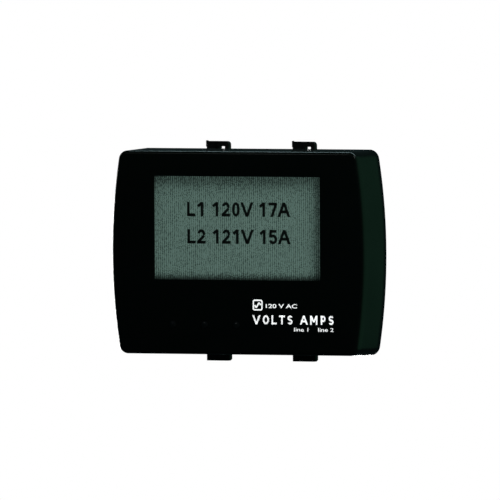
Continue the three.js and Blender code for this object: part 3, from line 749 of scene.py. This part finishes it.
def readings():
    """Two lines of generic volts and amps, set from nearly the same left edge."""
    cap = 6.86 * MM
    digit, letter, space = 5.236 * MM, 6.27 * MM, 2.615 * MM
    advances = {" ": space, "V": letter, "A": letter}
    left = -27.25 * MM - 0.1 * cap
    upper, lower = 5.55 * MM, -7.52 * MM
    window_middle = (WINDOW_LOW + WINDOW_TOP) / 2
    glyphs = Glyphs(GLASS_FRONT - SEGMENT_LIFT, cap, 0.2 * cap)
    for text, x, z in (("L1 120V 17A", left, upper), ("L2 121V 15A", left + 0.15 * MM, lower)):
        glyphs.write(text, x, window_middle + z, lambda character: advances.get(character, digit))
    mesh_object("lcd_readings", glyphs.bm, LCD_INK, "display_unit")


readings()

# ---- Generic print below the display ----

PRINT_Y = FRONT - 0.02 * MM


def main_line(words, left, right, z, cap):
    """Evenly spaced capitals that fill the line from left to right."""
    usual, stroke = 0.76, 0.85 * MM
    widths = {"V": 0.93, "O": 0.85, "A": 0.93, "M": 1.05, " ": 0.4}
    sizes = [widths.get(character, usual) * cap for character in words]
    spacing = (right - left - sum(sizes)) / (len(words) - 1)
    glyphs = Glyphs(PRINT_Y, cap, stroke)
    glyphs.write(words, left, z, lambda character: widths.get(character, usual) * cap + spacing)
    mesh_object("print_main_line", glyphs.bm, WHITE_INK, "display_unit")


def printed(name, words, x, z, height, width, heavy=0.0):
    """A line of flat lettering on the front face, fitted to a cap height and a width."""
    curve = bpy.data.curves.new(name, "FONT")
    curve.body, curve.offset = words, heavy
    curve.resolution_u = 6
    piece = bpy.data.objects.new(name, curve)
    bpy.context.scene.collection.objects.link(piece)
    bpy.context.view_layer.update()
    low = Vector(map(min, *(Vector(c) for c in piece.bound_box)))
    high = Vector(map(max, *(Vector(c) for c in piece.bound_box)))
    size = high - low
    scale = Vector((width / size.x, height / size.y, 1))
    place = Vector((x - low.x * scale.x, PRINT_Y, z - low.y * scale.y))
    stand = Matrix.Rotation(math.pi / 2, 4, "X")
    piece.matrix_world = Matrix.Translation(place) @ stand @ Matrix.Diagonal((*scale, 1))
    curve.materials.append(WHITE_INK)
    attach(piece, "display_unit")


def wave_badge():
    """A plain outline square with one cycle of a sine wave in it, the usual sign for alternating current."""
    bm = bmesh.new()
    size, stroke, corner = 5.3 * MM, 0.75 * MM, 1.2 * MM
    x, z = 10.6 * MM, -24.8 * MM
    half = size / 2
    outlines = [
        rounded_box(x - half + inset, x + half - inset, z - half + inset, z + half - inset, corner - inset)
        for inset in (0, stroke)
    ]
    bridge(bm, *(ring_of(bm, outline, PRINT_Y) for outline in outlines))
    margin, swing, points = 1.1 * MM, 1.0 * MM, 32
    reach = half - margin
    path = []
    for i in range(points + 1):
        share = i / points * 2 - 1
        slope = swing * math.pi * math.cos(math.pi * share) / reach
        across = Vector((-slope, 1)).normalized() * stroke / 2
        middle = Vector((x + reach * share, z + swing * math.sin(math.pi * share)))
        ends = (middle - across, middle + across)
        path.append([bm.verts.new((point.x, PRINT_Y, point.y)) for point in ends])
    for (a, b), (c, d) in zip(path, path[1:]):
        bm.faces.new((a, b, d, c))
    mesh_object("print_wave_badge", bm, WHITE_INK, "display_unit")


wave_badge()
printed("print_small_line", "120 V AC", 14.8 * MM, -26.2 * MM, 2.0 * MM, 16.4 * MM, 0.02)
main_line("VOLTS AMPS", 7.9 * MM, 50.6 * MM, -33.95 * MM, 4.3 * MM)
printed("print_lower_line", "line 1    line 2", 29.6 * MM, -37.3 * MM, 1.9 * MM, 20.6 * MM, 0.01)

# ---- Studio ----


def area_light(name, place, aim, size, power, color=(1, 1, 1)):
    data = bpy.data.lights.new(name, "AREA")
    data.shape, data.size, data.size_y = "RECTANGLE", size[0], size[1]
    data.energy, data.color = power, color
    light = bpy.data.objects.new(name, data)
    light.location = Vector(place)
    light.rotation_euler = (Vector(aim) - Vector(place)).to_track_quat("-Z", "Y").to_euler()
    light.visible_camera = False
    bpy.context.scene.collection.objects.link(light)
    return light


def studio():
    scene = bpy.context.scene
    scene.view_settings.view_transform = "Standard"
    world = bpy.data.worlds.new("studio")
    world.use_nodes = True
    tree = world.node_tree
    backdrop, dim = tree.nodes["Background"], tree.nodes.new("ShaderNodeBackground")
    path, mix = tree.nodes.new("ShaderNodeLightPath"), tree.nodes.new("ShaderNodeMixShader")
    backdrop.inputs["Color"].default_value = rgb(1, 1, 1)
    backdrop.inputs["Strength"].default_value = 1.0
    dim.inputs["Color"].default_value = rgb(0.45, 0.92, 1.0)
    dim.inputs["Strength"].default_value = 0.016
    tree.links.new(path.outputs["Is Camera Ray"], mix.inputs[0])
    tree.links.new(dim.outputs[0], mix.inputs[1])
    tree.links.new(backdrop.outputs[0], mix.inputs[2])
    tree.links.new(mix.outputs[0], tree.nodes["World Output"].inputs["Surface"])
    scene.world = world
    key = area_light("key", (0.7, -0.3, 0.65), (0, -0.02, 0), (0.42, 0.42), 24.0)
    key.visible_glossy = False
    # The key lights the matt surfaces and the small glint is what the glossy ones mirror of it.
    area_light("glint", (0.68, -0.29, 0.63), (0, -0.02, 0), (0.13, 0.13), 0.9)
    area_light("overhead", (0.05, 0.35, 0.6), (0, -0.02, 0.04), (0.9, 0.12), 2.0, (0.67, 0.95, 1.0))
    area_light("right_side", (0.9, 0.42, 0.12), (0.06, -0.01, 0), (1.6, 1.14), 0.66, (0.28, 1.0, 0.54))
    area_light("behind_left", (-0.8, 0.3, 0.2), (0, 0, 0), (0.4, 0.5), 1.5)
    area_light("front_left", (-0.42, -0.95, 0.5), (0, 0, 0), (0.15, 0.15), 0.14)
    area_light("back_fill", (-0.55, 0.85, -0.1), (0, 0, 0), (0.6, 0.25), 9.0)


FLOOR_DROP = 98 * MM


def floor():
    """A pale sheet well below the object, which glows a little so that it runs into the white backdrop."""
    bm = bmesh.new()
    half, z = 0.5, cad_box[0].z - FLOOR_DROP
    corners = ((-half, -half), (half, -half), (half, half), (-half, half))
    bm.faces.new([bm.verts.new((x, y, z)) for x, y in corners])
    mesh = bpy.data.meshes.new("floor")
    bm.to_mesh(mesh)
    bm.free()
    look = Look("floor")
    paper = look.mix(look.noise(60 * MM, 3), rgb(0.82, 0.82, 0.82), rgb(0.88, 0.88, 0.88))
    mesh.materials.append(look.set(
        Base_Color=paper, Emission_Color=paper, Emission_Strength=1.15, Roughness=0.9))
    piece = bpy.data.objects.new("floor", mesh)
    bpy.context.scene.collection.objects.link(piece)
    piece.visible_glossy = piece.visible_diffuse = False


studio()
floor()
